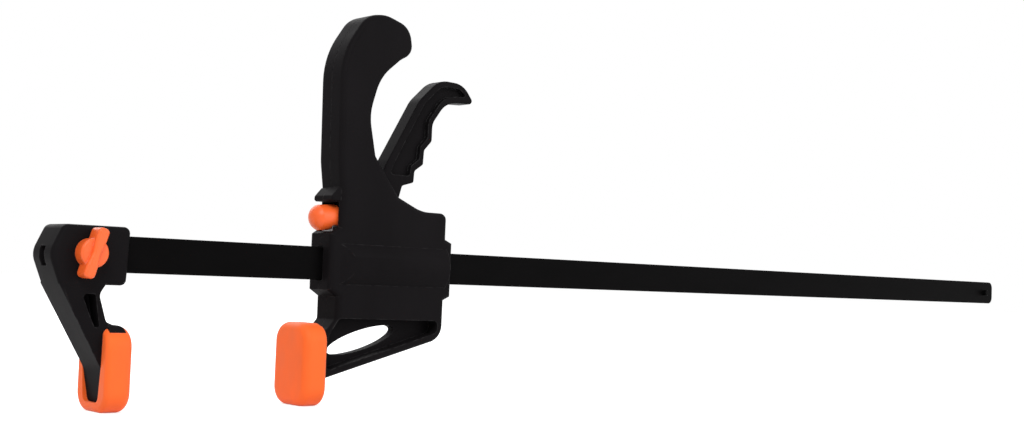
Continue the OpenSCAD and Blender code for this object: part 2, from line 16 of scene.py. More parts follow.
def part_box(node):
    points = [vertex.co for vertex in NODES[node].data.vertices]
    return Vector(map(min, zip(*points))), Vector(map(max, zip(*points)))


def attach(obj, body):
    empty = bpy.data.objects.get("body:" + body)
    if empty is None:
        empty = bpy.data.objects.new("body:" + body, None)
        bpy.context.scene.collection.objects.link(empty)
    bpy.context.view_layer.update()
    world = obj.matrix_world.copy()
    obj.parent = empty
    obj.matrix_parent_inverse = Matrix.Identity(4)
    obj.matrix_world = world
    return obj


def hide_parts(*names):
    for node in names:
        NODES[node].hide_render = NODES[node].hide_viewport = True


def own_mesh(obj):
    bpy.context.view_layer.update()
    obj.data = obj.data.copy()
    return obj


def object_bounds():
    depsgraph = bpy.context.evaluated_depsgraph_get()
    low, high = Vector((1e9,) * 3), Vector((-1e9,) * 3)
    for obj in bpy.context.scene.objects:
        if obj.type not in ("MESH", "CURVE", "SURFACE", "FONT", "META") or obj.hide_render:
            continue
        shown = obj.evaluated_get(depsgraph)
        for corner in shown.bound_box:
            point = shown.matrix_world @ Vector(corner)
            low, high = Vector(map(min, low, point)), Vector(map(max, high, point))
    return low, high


bl_info = {
    "name": "Quick Release Bar Clamp",
    "version": (1, 0, 0),
    "blender": (4, 5, 0),
    "location": "View3D > Sidebar > Bar Clamp",
    "description": "Builds the pieces and finishes of a one-handed bar clamp on its packed model",
    "category": "Object",
}

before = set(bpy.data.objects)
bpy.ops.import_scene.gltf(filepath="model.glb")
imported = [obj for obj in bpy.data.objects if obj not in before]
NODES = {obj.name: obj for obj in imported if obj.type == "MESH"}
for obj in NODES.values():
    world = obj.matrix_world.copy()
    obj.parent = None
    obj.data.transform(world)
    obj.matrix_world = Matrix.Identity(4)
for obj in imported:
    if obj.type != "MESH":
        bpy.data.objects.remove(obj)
CAD_BOX = [list(corner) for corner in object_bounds()]


def middle(node):
    """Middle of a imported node's box, in millimetres."""
    low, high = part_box(node)
    return (low + high) * 500


# Where the bar's and the housing's own measurements start, in millimetres
BAR_AT = np.array([0, 0, middle("bar").z])
BODY_AT = BAR_AT + [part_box("moving_pad")[0].x * 1000, 0, 0]
# Past the end of every piece near the housing or the jaw, for a cut right through
FAR = 300


# ---- outlines ----


def corner(before, at, after, step=5):
    """Arc of radius at[2] that rounds the corner at[:2]: its centre is on the
    bisector, radius / sin(half the angle) away, and it is even in angle."""
    p = np.array(at[:2], float)
    u = np.array(before[:2]) - p
    v = np.array(after[:2]) - p
    u /= np.linalg.norm(u)
    v /= np.linalg.norm(v)
    half = math.acos(np.clip(u @ v, -1, 1)) / 2
    middle_line = (u + v) / np.linalg.norm(u + v)
    centre = p + middle_line * at[2] / math.sin(half)
    start, end = (p + w * at[2] / math.tan(half) - centre for w in (u, v))
    first = math.atan2(start[1], start[0])
    turn = (math.atan2(end[1], end[0]) - first + 3 * math.pi) % (2 * math.pi) - math.pi
    angles = first + turn * np.linspace(0, 1, max(2, math.ceil(abs(math.degrees(turn)) / step)) + 1)
    return centre + at[2] * np.stack([np.cos(angles), np.sin(angles)], 1)


def rounded(*corners):
    """Closed outline through the corners (across, up, radius)."""
    n = len(corners)
    return np.vstack([
        corner(corners[i - 1], c, corners[(i + 1) % n]) if c[2] else np.array([c[:2]], float)
        for i, c in enumerate(corners)])


def inward(o):
    """For each point of the outline, the step along the bisector of its two
    sides that moves both sides in by 1."""
    before = o - np.roll(o, 1, 0)
    after = np.roll(o, -1, 0) - o
    before /= np.linalg.norm(before, axis=1, keepdims=True)
    after /= np.linalg.norm(after, axis=1, keepdims=True)
    normal = np.stack([-before[:, 1] - after[:, 1], before[:, 0] + after[:, 0]], 1)
    return normal / (1 + (before * after).sum(1, keepdims=True))


def box_outline(y, z0, z1, r):
    """Rectangle 2 * y wide from z0 to z1 with corners of radius r."""
    return rounded((-y, z0, r), (y, z0, r), (y, z1, r), (-y, z1, r))


# ---- solids: (points, faces) in millimetres ----


def rings(grid, ends=True):
    """Solid over a grid of closed rings, rings x points x 3. Each ring is joined
    to the next by quads, and the first and last ring are filled."""
    m, n = grid.shape[:2]
    a = (np.arange(m - 1)[:, None] * n + np.arange(n)).ravel()
    b = (np.arange(m - 1)[:, None] * n + (np.arange(n) + 1) % n).ravel()
    faces = np.stack([a, a + n, b + n, b], 1).tolist()
    if ends:
        faces += [list(range(n)), list(range(m * n - 1, (m - 1) * n - 1, -1))]
    return grid.reshape(-1, 3), faces


def moulded(o, y0, y1, near=0.0, back=0.0, steps=6):
    """Outline o in the XZ plane carried from y0 to y1. Its edges follow quarter
    circles: inset e * (1 - sin t) at a depth of e * (1 - cos t), t to 90 degrees."""
    t = np.linspace(0, math.pi / 2, steps + 1)
    first = [[y0, 0]] if not near else np.stack(
        [y0 + near * (1 - np.cos(t)), near * (1 - np.sin(t))], 1)
    last = [[y1, 0]] if not back else np.stack(
        [y1 - back * (1 - np.cos(t)), back * (1 - np.sin(t))], 1)[::-1]
    levels = np.vstack([first, last])
    flat = o + levels[:, 1, None, None] * inward(o)
    depth = np.broadcast_to(levels[:, 0, None], flat.shape[:2])
    return rings(np.stack([flat[..., 0], depth, flat[..., 1]], -1))


def along_x(part):
    """A solid drawn along Y, turned so that it lies along X: x and y change places."""
    points, faces = part
    return points[:, [1, 0, 2]], faces


def turned(profile, at=(0, 0), sides=64):
    """Profile (radius, along) turned round the line along Y through at = (x, z):
    a point at angle a is at radius * (cos a, sin a)."""
    p = np.array(profile, float)
    p[:, 0] = np.maximum(p[:, 0], 1e-3)
    a = np.linspace(0, 2 * math.pi, sides, endpoint=False)
    grid = np.stack([at[0] + p[:, :1] * np.cos(a),
                     np.broadcast_to(p[:, 1:], (len(p), sides)),
                     at[1] + p[:, :1] * np.sin(a)], -1)
    return rings(grid)


def pin(at, y0, y1, d, sides=48):
    """Round bar along Y on the point at = (x, z)."""
    return turned([(d / 2, y0), (d / 2, y1)], at, sides)


def block(x0, x1, z0, z1, w):
    """Box w wide across the middle plane."""
    return moulded(np.array([[x0, z0], [x1, z0], [x1, z1], [x0, z1]], float), -w / 2, w / 2)


def placed(part, move=(0, 0, 0), turn_y=0.0, about=(0, 0)):
    """Part turned by turn_y degrees round Y through about = (x, z), then moved."""
    points, faces = part
    pivot = np.array([about[0], 0, about[1]])
    spin = np.array(Matrix.Rotation(math.radians(turn_y), 3, "Y"))
    return (points - pivot) @ spin.T + pivot + np.array(move, float), faces


def joined(parts):
    """Several solids, clear of each other, as one list of points and faces."""
    points, faces, start = [], [], 0
    for p, f in parts:
        points.append(p)
        faces += [[i + start for i in face] for face in f]
        start += len(p)
    return np.vstack(points), faces


def mesh_of(name, part, scale=1.0):
    """Mesh of a solid, with its faces turned outwards and doubles merged."""
    points, faces = part
    mesh = bpy.data.meshes.new(name)
    mesh.from_pydata((points * scale).tolist(), [], faces)
    edit = bmesh.new()
    edit.from_mesh(mesh)
    bmesh.ops.remove_doubles(edit, verts=edit.verts, dist=1e-5 * scale)
    bmesh.ops.recalc_face_normals(edit, faces=edit.faces)
    edit.to_mesh(mesh)
    edit.free()
    return mesh


def added(name, data):
    """New object in the scene, at the origin."""
    o = bpy.data.objects.new(name, data)
    bpy.context.collection.objects.link(o)
    return o


def carved(solids, tools, step="DIFFERENCE"):
    """Solids in one, with each tool in turn cut out of them, as (points, faces).
    With the step INTERSECT, what they share with each tool is left."""
    objects = [added("work", mesh_of("work", part)) for part in solids + tools]
    for i, o in enumerate(objects[1:], 1):
        cut = objects[0].modifiers.new("cut", "BOOLEAN")
        cut.operation = "UNION" if i < len(solids) else step
        cut.solver = "EXACT"
        cut.object = o
    mesh = bpy.data.meshes.new_from_object(
        objects[0].evaluated_get(bpy.context.evaluated_depsgraph_get()))
    points = np.zeros(len(mesh.vertices) * 3)
    mesh.vertices.foreach_get("co", points)
    faces = [list(p.vertices) for p in mesh.polygons]
    for o in objects:
        bpy.data.meshes.remove(o.data)
    bpy.data.meshes.remove(mesh)
    return points.reshape(-1, 3), faces


def piece(name, part, material, body, at, replaces=(), sharp=32):
    """Object from a solid in millimetres, with smooth faces between edges
    sharper than `sharp` degrees, riding on its body."""
    mesh = mesh_of(name, (part[0] + at, part[1]), 0.001)
    mesh.polygons.foreach_set("use_smooth", np.ones(len(mesh.polygons), bool))
    mesh.set_sharp_from_angle(angle=math.radians(sharp))
    mesh.materials.append(material)
    o = added(name, mesh)
    weigh = o.modifiers.new("flat faces stay flat", "WEIGHTED_NORMAL")
    weigh.keep_sharp = True
    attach(o, body)
    if replaces:
        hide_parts(*replaces)
    return o


def paint(node, material):
    """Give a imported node, whose own shape stays, a material."""
    slots = NODES[node].data.materials
    if len(slots) == 0:
        slots.append(material)
    for i in range(len(slots)):
        slots[i] = material


# ---- materials ----


class Tree:
    """A material's node tree with its shader, and short ways to add nodes."""

    def __init__(self, name):
        self.material = bpy.data.materials.new(name)
        self.material.use_nodes = True
        self.tree = self.material.node_tree
        self.shader = self.tree.nodes["Principled BSDF"]
        self.where = self.node("TexCoord").outputs["Object"]

    def node(self, kind, **settings):
        """New shader node with these settings."""
        n = self.tree.nodes.new("ShaderNode" + kind)
        for key, value in settings.items():
            setattr(n, key, value)
        return n

    def join(self, output, socket):
        """Link an output to an input."""
        self.tree.links.new(output, socket)
        return socket

    def noise(self, size_mm, detail=3.0, stretch=(1, 1, 1)):
        """Noise whose features are about size_mm, drawn out by stretch."""
        place = self.node("Mapping")
        place.inputs["Scale"].default_value = [1 / s for s in stretch]
        n = self.node("TexNoise")
        n.inputs["Scale"].default_value = 1000 / size_mm
        n.inputs["Detail"].default_value = detail
        self.join(self.where, place.inputs["Vector"])
        self.join(place.outputs[0], n.inputs["Vector"])
        return n.outputs["Fac"]

    def range(self, value, low, high, to_low, to_high):
        """value carried from low..high to to_low..to_high, clamped."""
        n = self.node("MapRange")
        for socket, number in zip(n.inputs[1:5], (low, high, to_low, to_high)):
            socket.default_value = number
        self.join(value, n.inputs[0])
        return n.outputs[0]

    def math(self, operation, a, b):
        """Result of an operation on a and b, each a number or an output."""
        n = self.node("Math", operation=operation)
        for socket, value in zip(n.inputs, (a, b)):
            if isinstance(value, (int, float)):
                socket.default_value = value
            else:
                self.join(value, socket)
        return n.outputs[0]

    def mixed(self, factor, a, b):
        """Colour between a and b, each a colour or an output."""
        n = self.node("Mix", data_type="RGBA")
        self.join(factor, n.inputs["Factor"])
        for socket, value in zip((n.inputs[6], n.inputs[7]), (a, b)):
            if isinstance(value, bpy.types.NodeSocket):
                self.join(value, socket)
            else:
                socket.default_value = (*value[:3], 1)
        return n.outputs[2]

    def edges(self, radius_mm):
        """1 on convex and concave edges, 0 on flats: where the normal averaged
        over the radius leaves the surface's own."""
        soft = self.node("Bevel", samples=6)
        soft.inputs["Radius"].default_value = radius_mm / 1000
        dot = self.node("VectorMath", operation="DOT_PRODUCT")
        self.join(soft.outputs[0], dot.inputs[0])
        self.join(self.node("NewGeometry").outputs["Normal"], dot.inputs[1])
        return self.range(dot.outputs["Value"], 0.995, 0.9, 0, 1)

    def relief(self, *layers, edge_mm=0.3):
        """Bump from (height output, depth in mm) layers over edges eased by
        edge_mm, joined to the shader's normal."""
        soft = self.node("Bevel", samples=4)
        soft.inputs["Radius"].default_value = edge_mm / 1000
        normal = soft.outputs[0]
        for height, depth in layers:
            bump = self.node("Bump")
            bump.inputs["Strength"].default_value = 1
            bump.inputs["Distance"].default_value = depth / 1000
            self.join(height, bump.inputs["Height"])
            self.join(normal, bump.inputs["Normal"])
            normal = bump.outputs[0]
        self.join(normal, self.shader.inputs["Normal"])

    def set(self, **values):
        """Values of the shader's inputs, with _ for each space in their names."""
        for key, value in values.items():
            self.shader.inputs[key.replace("_", " ")].default_value = value


def lighter(colour, by):
    """Colour carried towards white by a share."""
    return [c + (1 - c) * by for c in colour[:3]]


def times(colour, by):
    """Colour with each channel times a factor."""
    return [c * by for c in colour[:3]]


def moulded_plastic(name, colour, roughness=0.44, specular=0.012, grain_mm=0.35, depth=0.012,
                    wear_and_highlight=0.03):
    """Moulded plastic: fine spark grain, slow flow of gloss, and edges made lighter, partly rubbing
    wear and partly a painted highlight.
    """
    t = Tree(name)
    flow = t.noise(24, 4, (1, 1, 2.5))
    grain = t.noise(grain_mm, 2)
    # Edge mask: edges turn lighter and glossier, partly rubbing wear and partly a painted highlight
    # along them.
    rubbed_and_highlit_edges = t.math("MULTIPLY", t.edges(0.8), t.range(t.noise(2.2, 5), 0.38, 0.62, 0, 1))
    body = t.mixed(t.range(flow, 0.3, 0.7, 0, 1), times(colour, 0.88), times(colour, 1.12))
    # Base colour mixed towards a lighter tone on the edges: wear plus painted highlight.
    t.join(t.mixed(t.math("MULTIPLY", rubbed_and_highlit_edges, 0.8), body, lighter(colour, wear_and_highlight)),
           t.shader.inputs["Base Color"])
    gloss = t.range(flow, 0.3, 0.7, roughness - 0.05, roughness + 0.07)
    t.join(t.math("SUBTRACT", gloss, t.math("MULTIPLY", rubbed_and_highlit_edges, 0.1)), t.shader.inputs["Roughness"])
    t.set(Specular_IOR_Level=specular)
    t.relief((flow, 0.03), (grain, depth))
    return t.material


def soft_rubber(name, colour):
    """Moulded soft pad: matt pebbled skin with faint handling marks."""
    t = Tree(name)
    pebble = t.noise(0.5, 2)
    marks = t.noise(9, 6, (1, 1, 1.8))
    dust = t.math("MULTIPLY", t.edges(1.2), t.range(t.noise(1.6, 5), 0.4, 0.65, 0, 1))
    body = t.mixed(t.range(marks, 0.3, 0.72, 0, 1), times(colour, 0.94), times(colour, 1.03))
    t.join(t.mixed(t.math("MULTIPLY", dust, 0.25), body, lighter(colour, 0.12)),
           t.shader.inputs["Base Color"])
    t.join(t.range(marks, 0.3, 0.7, 0.5, 0.66), t.shader.inputs["Roughness"])
    t.set(Specular_IOR_Level=0.25, Sheen_Weight=0.08, Sheen_Roughness=0.4)
    t.relief((marks, 0.05), (pebble, 0.02), edge_mm=0.5)
    return t.material


def black_steel(name, colour):
    """Flat bar in black oxide: drawn lines along it, mottled film, bare edges."""
    t = Tree(name)
    lines = t.noise(0.5, 4, (60, 1, 1))
    film = t.noise(14, 6, (2, 1, 1))
    bare = t.math("MULTIPLY", t.edges(0.5), t.range(t.noise(3, 6, (4, 1, 1)), 0.42, 0.6, 0, 1))
    body = t.mixed(t.range(film, 0.3, 0.7, 0, 1), times(colour, 0.75), times(colour, 1.3))
    t.join(t.mixed(t.math("MULTIPLY", bare, 0.5), body, (0.05, 0.05, 0.052)),
           t.shader.inputs["Base Color"])
    t.join(t.range(film, 0.3, 0.7, 0.34, 0.5), t.shader.inputs["Roughness"])
    t.set(Specular_IOR_Level=0.015)
    t.relief((film, 0.03), (lines, 0.006), edge_mm=0.35)
    return t.material


def bright_steel(name, colour, roughness=0.3):
    """Zinc plated or sprung steel: fine turning marks and a cloudy film."""
    t = Tree(name)
    cloud = t.noise(3, 5)
    lines = t.noise(0.15, 3, (1, 12, 1))
    t.join(t.mixed(t.range(cloud, 0.3, 0.7, 0, 1), times(colour, 0.82), colour),
           t.shader.inputs["Base Color"])
    t.join(t.range(cloud, 0.3, 0.7, roughness - 0.06, roughness + 0.1),
           t.shader.inputs["Roughness"])
    t.set(Metallic=1.0)
    t.relief((lines, 0.004), edge_mm=0.15)
    return t.material


# ---- sizes and colours that a user would change ----


class ClampSizes(bpy.types.PropertyGroup):
    parting: FloatProperty(
        name="Parting line", description="Chamfer of the two shells where they meet",
        default=0.00025, min=0, max=0.0006, subtype="DISTANCE", unit="LENGTH")
    crown: FloatProperty(
        name="Pad crown", description="How far the middle of a pad's face stands out",
        default=0.0003, min=0, max=0.0006, subtype="DISTANCE", unit="LENGTH")
    grain: FloatProperty(
        name="Grain", description="Size of the plastic's moulded grain",
        default=0.00035, min=0.0001, max=0.002, subtype="DISTANCE", unit="LENGTH")


class ClampColours(bpy.types.PropertyGroup):
    plastic: FloatVectorProperty(
        name="Plastic", description="Colour of the housing, the jaw and the trigger",
        default=(0.0082, 0.0073, 0.008), min=0, max=1, size=3, subtype="COLOR")
    pads: FloatVectorProperty(
        name="Pads", description="Colour of the soft pads",
        default=(0.93, 0.135, 0.018), min=0, max=1, size=3, subtype="COLOR")
    knob: FloatVectorProperty(
        name="Knob", description="Colour of the wing knob and the release button",
        default=(0.86, 0.12, 0.02), min=0, max=1, size=3, subtype="COLOR")
    bar: FloatVectorProperty(
        name="Bar", description="Colour of the bar's black oxide",
        default=(0.0022, 0.002, 0.0021), min=0, max=1, size=3, subtype="COLOR")
    steel: FloatVectorProperty(
        name="Steel", description="Colour of screws, pins, plates and springs",
        default=(0.5, 0.5, 0.51), min=0, max=1, size=3, subtype="COLOR")


def sizes():
    """The sizes that the user has set."""
    return bpy.context.scene.clamp_sizes


def colours():
    """The colours that the user has set."""
    return bpy.context.scene.clamp_colours


MADE = {}


def finish(name):
    """The named material, made once from the scene's colours."""
    if name not in MADE:
        c = colours()
        grain = sizes().grain * 1000
        MADE[name] = {
            "housing": lambda: moulded_plastic("housing_plastic", c.plastic, grain_mm=grain),
            "jaw": lambda: moulded_plastic("jaw_plastic", c.plastic, 0.4, grain_mm=grain),
            "trigger": lambda: moulded_plastic(
                "trigger_plastic", times(c.plastic, 0.85), 0.38, grain_mm=grain),
            # The knob's last value, 0.15, is how much lighter its edges are painted: partly wear
            # and partly a painted highlight.
            "knob": lambda: moulded_plastic(
                "knob_plastic", c.knob, 0.36, 0.35, grain * 1.4, 0.008, 0.15),
            "pads": lambda: soft_rubber("pad_rubber", c.pads),
            "bar": lambda: black_steel("bar_black_oxide", c.bar),
            "steel": lambda: bright_steel("zinc_steel", c.steel),
            "springs": lambda: bright_steel("spring_steel", times(c.steel, 0.7), 0.26),
            "plates": lambda: bright_steel("plate_steel", times(c.steel, 0.55), 0.36),
        }[name]()
    return MADE[name]


# ---- shapes: lengths in millimetres, points as (x, z) ----

# Section of the flat bar
BAR_H, BAR_T = 16, 5
# Fixed jaw: width and underside of its head, width of its arm, and the web that
# is left between two hollows, in the moving jaw too
HEAD_W, HEAD_LOW, ARM_W = 22, -13.4, 18
WEB = 5
# Wing knob and its M6 screw, with the nut across its flats and its height
KNOB_X = -21.5
SCREW_D, NUT_FLATS, NUT_H = 6, 10, 5
# Pads, and the shoes that they are drawn over with a gap all round
PAD_W, PAD_H, PAD_T = 29.5, 37, 12.8
PAD_Z = -BAR_AT[2]
PAD_TOP, PAD_LOW = PAD_Z + PAD_H / 2, PAD_Z - PAD_H / 2
PAD_GAP = 0.2
SHOE_FRONT, SHOE_BACK = 3.4, 10.6
SHOE_W, SHOE_LOW, SHOE_TOP = 23.5, PAD_LOW + 3.4, PAD_TOP + 0.6
# Housing: width, radius of its long edges, wall, and the barrel over the bar
BODY_W, EDGE, WALL, BARREL_R = 20, 3, 2.8, 14
# Housing in side view: front collar, flank, rear face, rear collar, top and underside
COLLAR_X, FLANK_X, REAR_X, BODY_LEN = 15.2, 20.2, 85.5, 89.7
HANDLE_TOP, JAW_LOW = 124, PAD_Z - 7.2
# Screws from the far side: their places, and how far out their heads are seated
SCREWS = [(45, HANDLE_TOP - 12), (26.4, 64), (77, 21.5), (78, -21), (28, -21.2)]
SEAT = BODY_W / 2 - 2.4
# Trigger: its pin, and its round nose, which swings by SWING to either side of
# upright and so pushes the drive plates by STROKE
PIVOT, PIN_D, TRIGGER_W = (40.7, 31), 5, 10.5
NOSE_ARM, NOSE_R, SWING = 13, 4, math.radians(9.5)
NOSE = (PIVOT[0] - NOSE_ARM * math.sin(SWING), PIVOT[1] - NOSE_ARM * math.cos(SWING))
STROKE = 2 * NOSE_ARM * math.sin(SWING)
# Drive: thickness of its two plates, where they end at rest, and its spring's
# chamber. The spring gives way a little more than the stroke.
PLATES_T = 6.1
PLATES_END = NOSE[0] + (NOSE_R + 0.3) + PLATES_T
DRIVE_END, DRIVE_R = 80, 11.5
# Brake: foot of its lever, how far this leans in degrees, the spring's chamber,
# and the button on the lever's arm
LEVER, LEAN = (23, -14), 5
BRAKE_END, BRAKE_R = 36, 10.6
BUTTON_Z, BUTTON_D = 22.8, 12.4


def bar_way(x0, x1, gap=0.2):
    """Room for the bar from x0 to x1."""
    return block(x0, x1, -BAR_H / 2 - gap, BAR_H / 2 + gap, BAR_T + 2 * gap)


def arm_width(grow=0.0):
    """The fixed jaw's arm seen from behind: as wide as the head above, narrow at
    its toe."""
    w, toe, head = ARM_W / 2, ARM_W * 0.4, HEAD_W / 2
    o = rounded((-toe, SHOE_LOW + 1, 3), (toe, SHOE_LOW + 1, 3), (w, PAD_Z + 2, 20),
                (w + 0.6, -25, 20), (head, HEAD_LOW, 6), (head, FAR, 0), (-head, FAR, 0),
                (-head, HEAD_LOW, 6), (-w - 0.6, -25, 20), (-w, PAD_Z + 2, 20))
    return o - grow * inward(o)


def shoe():
    """Plate that a pad is drawn over, its top rounded to the front."""
    front = moulded(rounded(
        (-SHOE_BACK, SHOE_LOW, 0), (-SHOE_FRONT, SHOE_LOW, 0), (-SHOE_FRONT, SHOE_TOP, 3),
        (-SHOE_BACK, SHOE_TOP, 0)), -FAR, FAR)
    face = along_x(moulded(box_outline(SHOE_W / 2, SHOE_LOW, SHOE_TOP, 4),
                           -SHOE_BACK, -SHOE_FRONT))
    return carved([face], [front], "INTERSECT")


def hexagon(y0, y1, flats):
    """Six-sided bar on the knob's line, by its width across two flat sides."""
    return pin((KNOB_X, 0), y0, y1, flats / math.cos(math.pi / 6), 6)


def fixed_jaw():
    """Head round the bar's end, and an arm with a rib down each side to the shoe."""
    head_back = -38.2
    head = rounded((head_back + 5, HEAD_LOW, 0), (-3.4, HEAD_LOW, 2.6), (-2.4, 11.8, 2.8),
                   (head_back + 5.8, 11.8, 3.5), (head_back, -0.6, 9))
    arm = rounded((head_back + 6, -6, 0), (head_back + 5, HEAD_LOW, 0), (-12.6, -49.1, 10),
                  (-SHOE_BACK, SHOE_LOW + 1, 0), (-SHOE_FRONT - 1, SHOE_LOW + 1, 0),
                  (-SHOE_FRONT - 1, PAD_TOP - 1, 0), (-11.6, PAD_TOP + 2, 2), (-15.4, -17.4, 4),
                  (-11.5, -11.4, 0), (-12, 6, 0), (head_back + 8, 6, 0))
    hollow = rounded((-23.4, -17.2, 1.5), (-16.6, PAD_TOP - 0.4, 0.8),
                     (-14.4, PAD_TOP - 0.4, 0.8), (-17.3, -17.2, 1.2))
    narrowed = carved([moulded(arm, -HEAD_W / 2, HEAD_W / 2, 1.5, 1.5)],
                      [along_x(moulded(arm_width(), -FAR, FAR))], "INTERSECT")
    return carved(
        [moulded(head, -HEAD_W / 2, HEAD_W / 2, 2.4, 2.4), narrowed, shoe()],
        [moulded(rounded((-34.15, -8.15, 4.5), (FAR, -8.15, 0), (FAR, 8.15, 0),
                         (-34.15, 8.15, 4.5)), -2.65, 2.65),
         block(-FAR, -34, -6, 2.4, BAR_T + 0.3),
         pin((KNOB_X, 0), -FAR, FAR, SCREW_D + 0.3),
         hexagon(HEAD_W / 2 - NUT_H, FAR, NUT_FLATS + 0.3),
         moulded(hollow, -FAR, -WEB / 2),
         moulded(hollow, WEB / 2, FAR)])


def pad(slot_outline, crown, top=PAD_TOP, room_top=FAR):
    """Soft pad with its face at x = 0 towards +X. One profile is carried round
    its outline: back, back edge, side, front edge, then the face in shrinking
    rings that rise by crown * (1 - s * s) to the middle. The room for the shoe
    ends at room_top, and the slot behind it is open upwards."""
    o = box_outline(PAD_W / 2, PAD_LOW, top, 9)
    back, front = 2.4, 4
    t = np.linspace(0, math.pi / 2, 9)
    level = np.concatenate([PAD_T - back * (1 - np.cos(t)), front * (1 - np.cos(t[::-1]))])
    inset = np.concatenate([back * (1 - np.sin(t)), front * (1 - np.sin(t[::-1]))])
    flat = o + inset[:, None, None] * inward(o)
    s = np.linspace(1, 0.02, 9)[1:]
    centre = np.array([0, (PAD_LOW + top) / 2])
    face = centre + s[:, None, None] * (flat[-1] - centre)
    depth = np.concatenate([crown + level * (1 - crown / PAD_T), crown * s * s])
    across = np.vstack([flat, face])
    grid = np.stack([np.broadcast_to(-depth[:, None], across.shape[:2]),
                     across[..., 0], across[..., 1]], -1)
    inner = SHOE_W / 2 + PAD_GAP
    room = rounded((-inner, SHOE_LOW - PAD_GAP, 4), (inner, SHOE_LOW - PAD_GAP, 4),
                   (inner, room_top, 4), (-inner, room_top, 4))
    return carved([rings(grid)],
                  [along_x(moulded(room, -SHOE_BACK - PAD_GAP, -SHOE_FRONT + PAD_GAP)),
                   along_x(moulded(slot_outline, -FAR, -SHOE_BACK))])


def mirrored(part):
    """A solid of the fixed jaw turned to face the other way, for the moving jaw."""
    points, faces = part
    return points * [-1, 1, 1], faces


def wing_knob():
    """Round hub with a wing across it. The wing is waisted where it crosses the
    hub, and its rim is rounded."""
    top = -HEAD_W / 2 - 0.2
    hub_h, hub_r, wing_h = 6.5, 6.25, 8.5
    t = np.linspace(0, math.pi / 2, 7)
    rim = np.stack([hub_r - 1.2 * (1 - np.sin(t)), top - hub_h + 1.2 * (1 - np.cos(t))], 1)
    hub = turned([(0, top - hub_h), *rim, (hub_r, top), (0, top)], (KNOB_X, 0))
    waist, end, h = 1.7, 2.5, 11
    wing = rounded((-end, -h, 1.9), (end, -h, 1.9), (end, -6, 4), (waist, 0, 9), (end, 6, 4),
                   (end, h, 1.9), (-end, h, 1.9), (-end, 6, 4), (-waist, 0, 9), (-end, -6, 4))
    wing = wing + [KNOB_X, 0]
    blade = placed(moulded(wing, top - wing_h, top - 0.5, 1.2, 0.3), turn_y=17,
                   about=(KNOB_X, 0))
    return carved([hub, blade], [pin((KNOB_X, 0), top - hub_h + 2, FAR, SCREW_D),
                                 pin((KNOB_X, 0), -HEAD_W / 2 - 1.1, FAR, 10.6)])


def body_outline():
    """Side view: jaw, housing and handle in one line."""
    return rounded(
        (SHOE_BACK - 1, JAW_LOW, 0), (REAR_X, JAW_LOW + 21, 9), (REAR_X, -16.4, 0),
        (BODY_LEN, -14.4, 0), (BODY_LEN, 13.2, 0), (REAR_X, 15, 0), (REAR_X, 28.2, 3.4),
        (70, 28.2, 25), (54.6, 34.8, 0), (39.8, 54, 0), (35.4, 74, 24), (41, 93, 25),
        (52.8, HANDLE_TOP - 20.8, 12), (60, HANDLE_TOP - 16.6, 6.5),
        (57.6, HANDLE_TOP - 3.6, 10), (43, HANDLE_TOP + 0.7, 18), (31.5, HANDLE_TOP - 1, 14),
        (17.4, 102, 40), (18.4, 50, 40), (FLANK_X, 37, 0), (FLANK_X, 18, 0),
        (COLLAR_X, 14.6, 0), (COLLAR_X, -12.6, 0), (FLANK_X, -15.8, 0), (FLANK_X, -26.6, 2),
        (16.6, -31, 1), (SHOE_BACK - 1, PAD_TOP - 4, 0))


def brow():
    """Side view of the brow over the release button."""
    return rounded((15.4, 30.2, 1.3), (FLANK_X + 6, 30.2, 0), (FLANK_X + 6, 40, 0),
                   (FLANK_X - 1, 36.8, 0), (15.6, 32.8, 1.3))


def handle_hollow():
    """Side view of the room inside the handle, one wall in from its outline."""
    return rounded(
        (FLANK_X + WALL, 44, 3), (39.8 - WALL, 60, 8), (36 - WALL, 75, 15), (41 - WALL, 95, 22),
        (52.6 - WALL, HANDLE_TOP - 17.5, 12), (58.8 - WALL, HANDLE_TOP - 14.5, 3),
        (56.6 - WALL, HANDLE_TOP - 3.8 - WALL, 6), (43, HANDLE_TOP - WALL, 14),
        (31, HANDLE_TOP - 2.4 - WALL, 10), (17.8 + WALL, 100, 30))


def jaw_hollow():
    """Side view of the hollow in each side of the moving jaw."""
    return rounded((SHOE_BACK + 3.2, JAW_LOW + 5, 3), (REAR_X - 4.4, JAW_LOW + 24, 3.2),
                   (REAR_X - 4, -26.8, 2.4), (22, -26.2, 2), (16, -34.4, 3))


def window():
    """Slanting oval through the lower jaw: half axes times cosine and sine."""
    a = np.linspace(0, 2 * math.pi, 96, endpoint=False)
    oval = np.stack([39.5 + 20.6 * np.cos(a), -36.8 + 4.9 * np.sin(a)], 1)
    return placed(moulded(oval, -FAR, FAR), turn_y=-15.5, about=(39.5, -36.8))


def barrel():
    """Half-round barrel over the bar with a slanting front."""
    side = BODY_W / 2 - 0.4
    tube = along_x(turned([(BARREL_R, FLANK_X - 1), (BARREL_R, REAR_X - 0.3)], sides=128))
    plan = np.array([[FLANK_X - 0.6, -side], [FLANK_X + 7.4, -BARREL_R], [FAR, -BARREL_R],
                     [FAR, BARREL_R], [FLANK_X + 7.4, BARREL_R], [FLANK_X - 0.6, side]])
    points, faces = moulded(plan, -FAR, FAR)
    return carved([tube], [(points[:, [0, 2, 1]], faces)], "INTERSECT")


def tube_x(x0, x1, r):
    """Round chamber about the bar from x0 to x1."""
    return along_x(turned([(r, x0), (r, x1)]))


